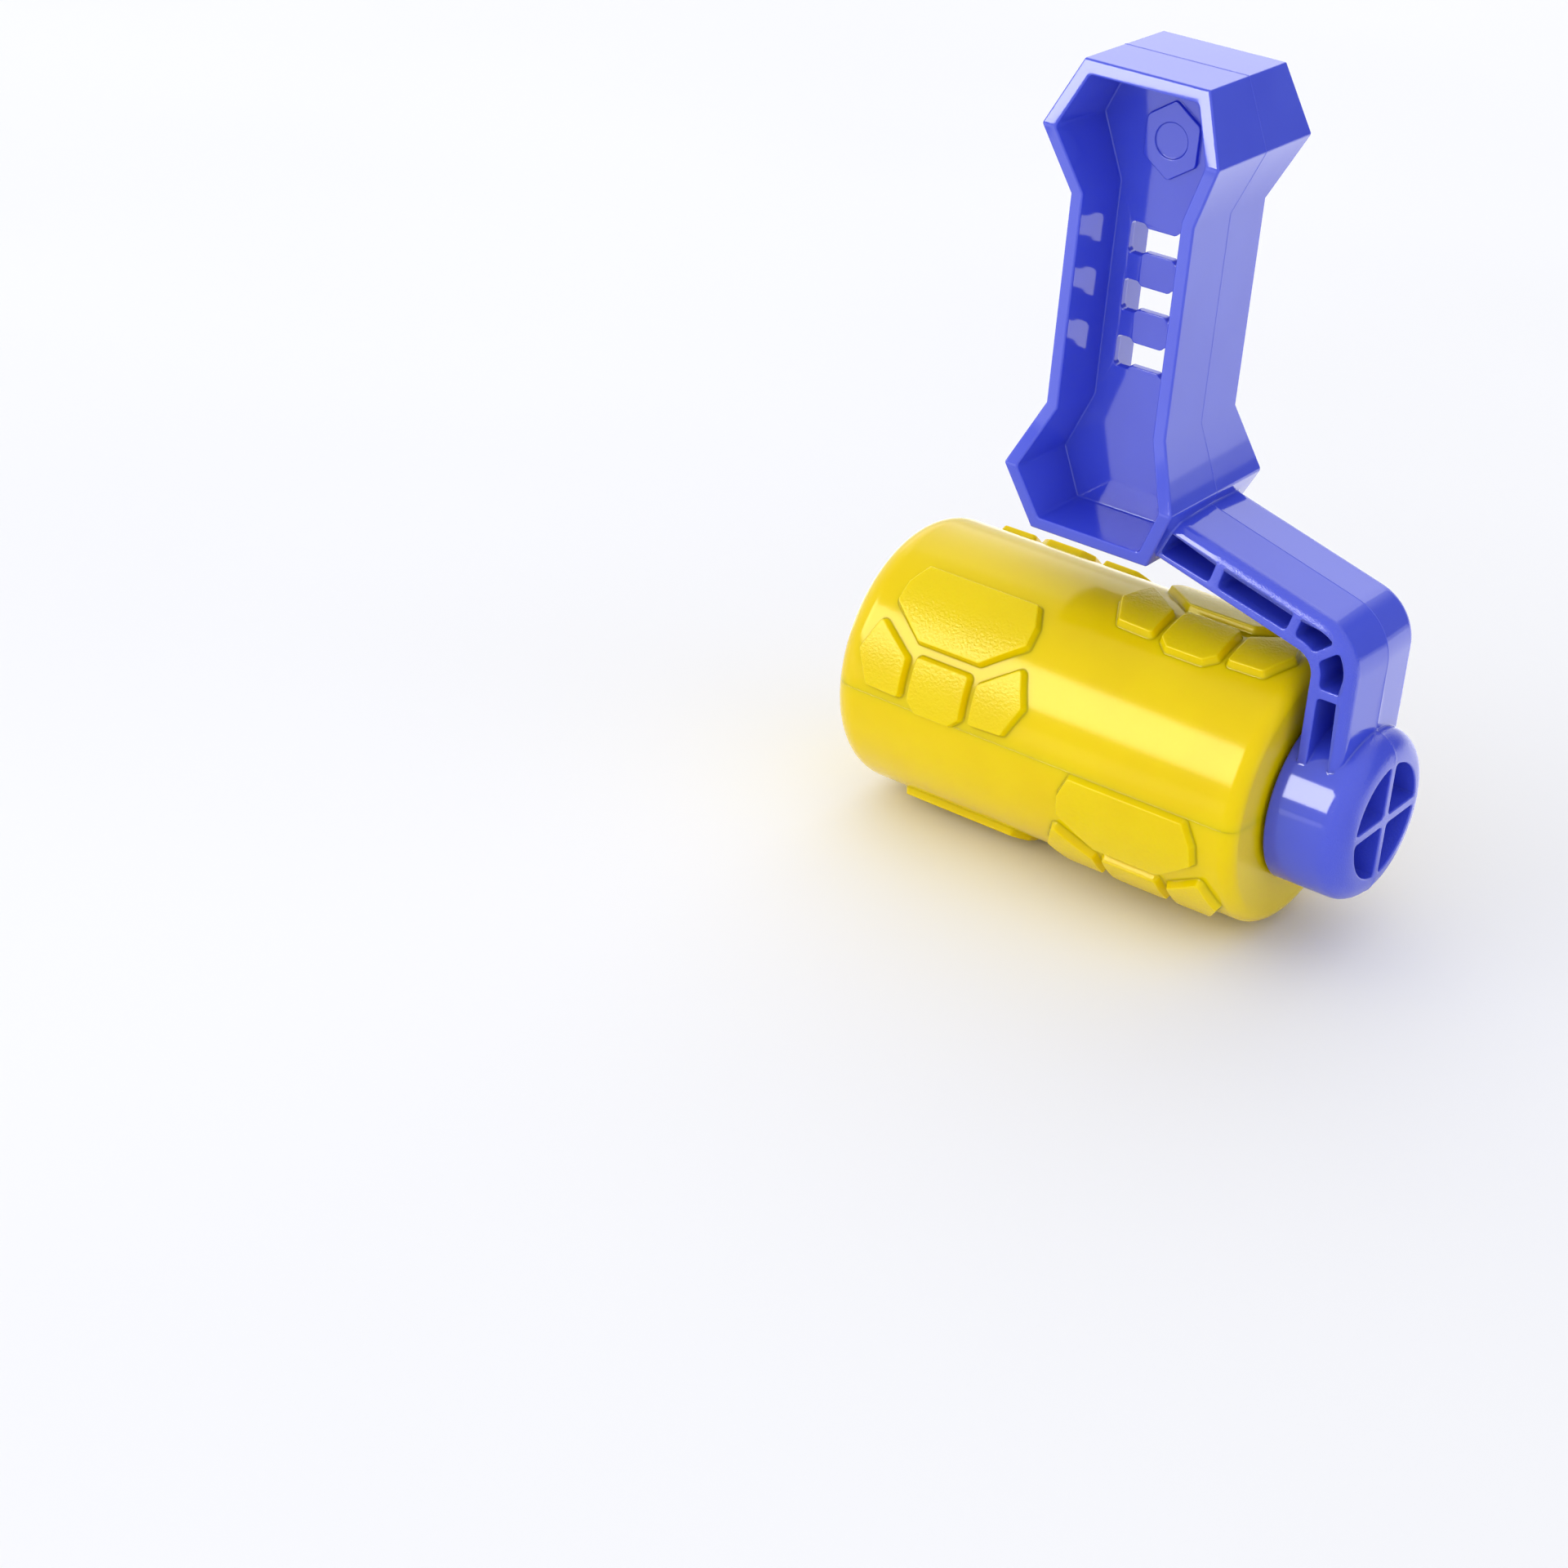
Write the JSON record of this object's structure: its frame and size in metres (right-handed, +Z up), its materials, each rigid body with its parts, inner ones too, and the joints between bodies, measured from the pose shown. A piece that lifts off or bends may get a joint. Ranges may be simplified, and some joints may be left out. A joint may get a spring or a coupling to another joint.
{
  "type": "toy sand roller",
  "caption": "Child's hand-held roller for play sand: a hollow yellow drum with raised tread blocks turns on the end of a one-piece blue handle.",
  "frame": {"origin": "under the middle of the whole toy's width, on the surface that the drum rolls on", "axes": "+X along the drum's axis towards the arm and the hub, -Y the open front tray of the grip, +Z up along the grip, which stands upright over the drum"},
  "size_m": [0.0974, 0.0518, 0.1424],
  "materials": {
    "blue": "glossy",
    "yellow": "glossy",
    "grey": "matte"
  },
  "bodies": {
    "handle": {"handle_moulding": "blue", "spindle": "grey"},
    "drum": {"drum_upper_half": "yellow", "drum_lower_half": "yellow"}
  },
  "joints": [
    {"name": "drum_spin", "type": "hinge", "parent": "handle", "child": "drum", "pos_m": [0, 0, 0.0259], "axis": [1, 0, 0], "continuous": true}
  ]
}
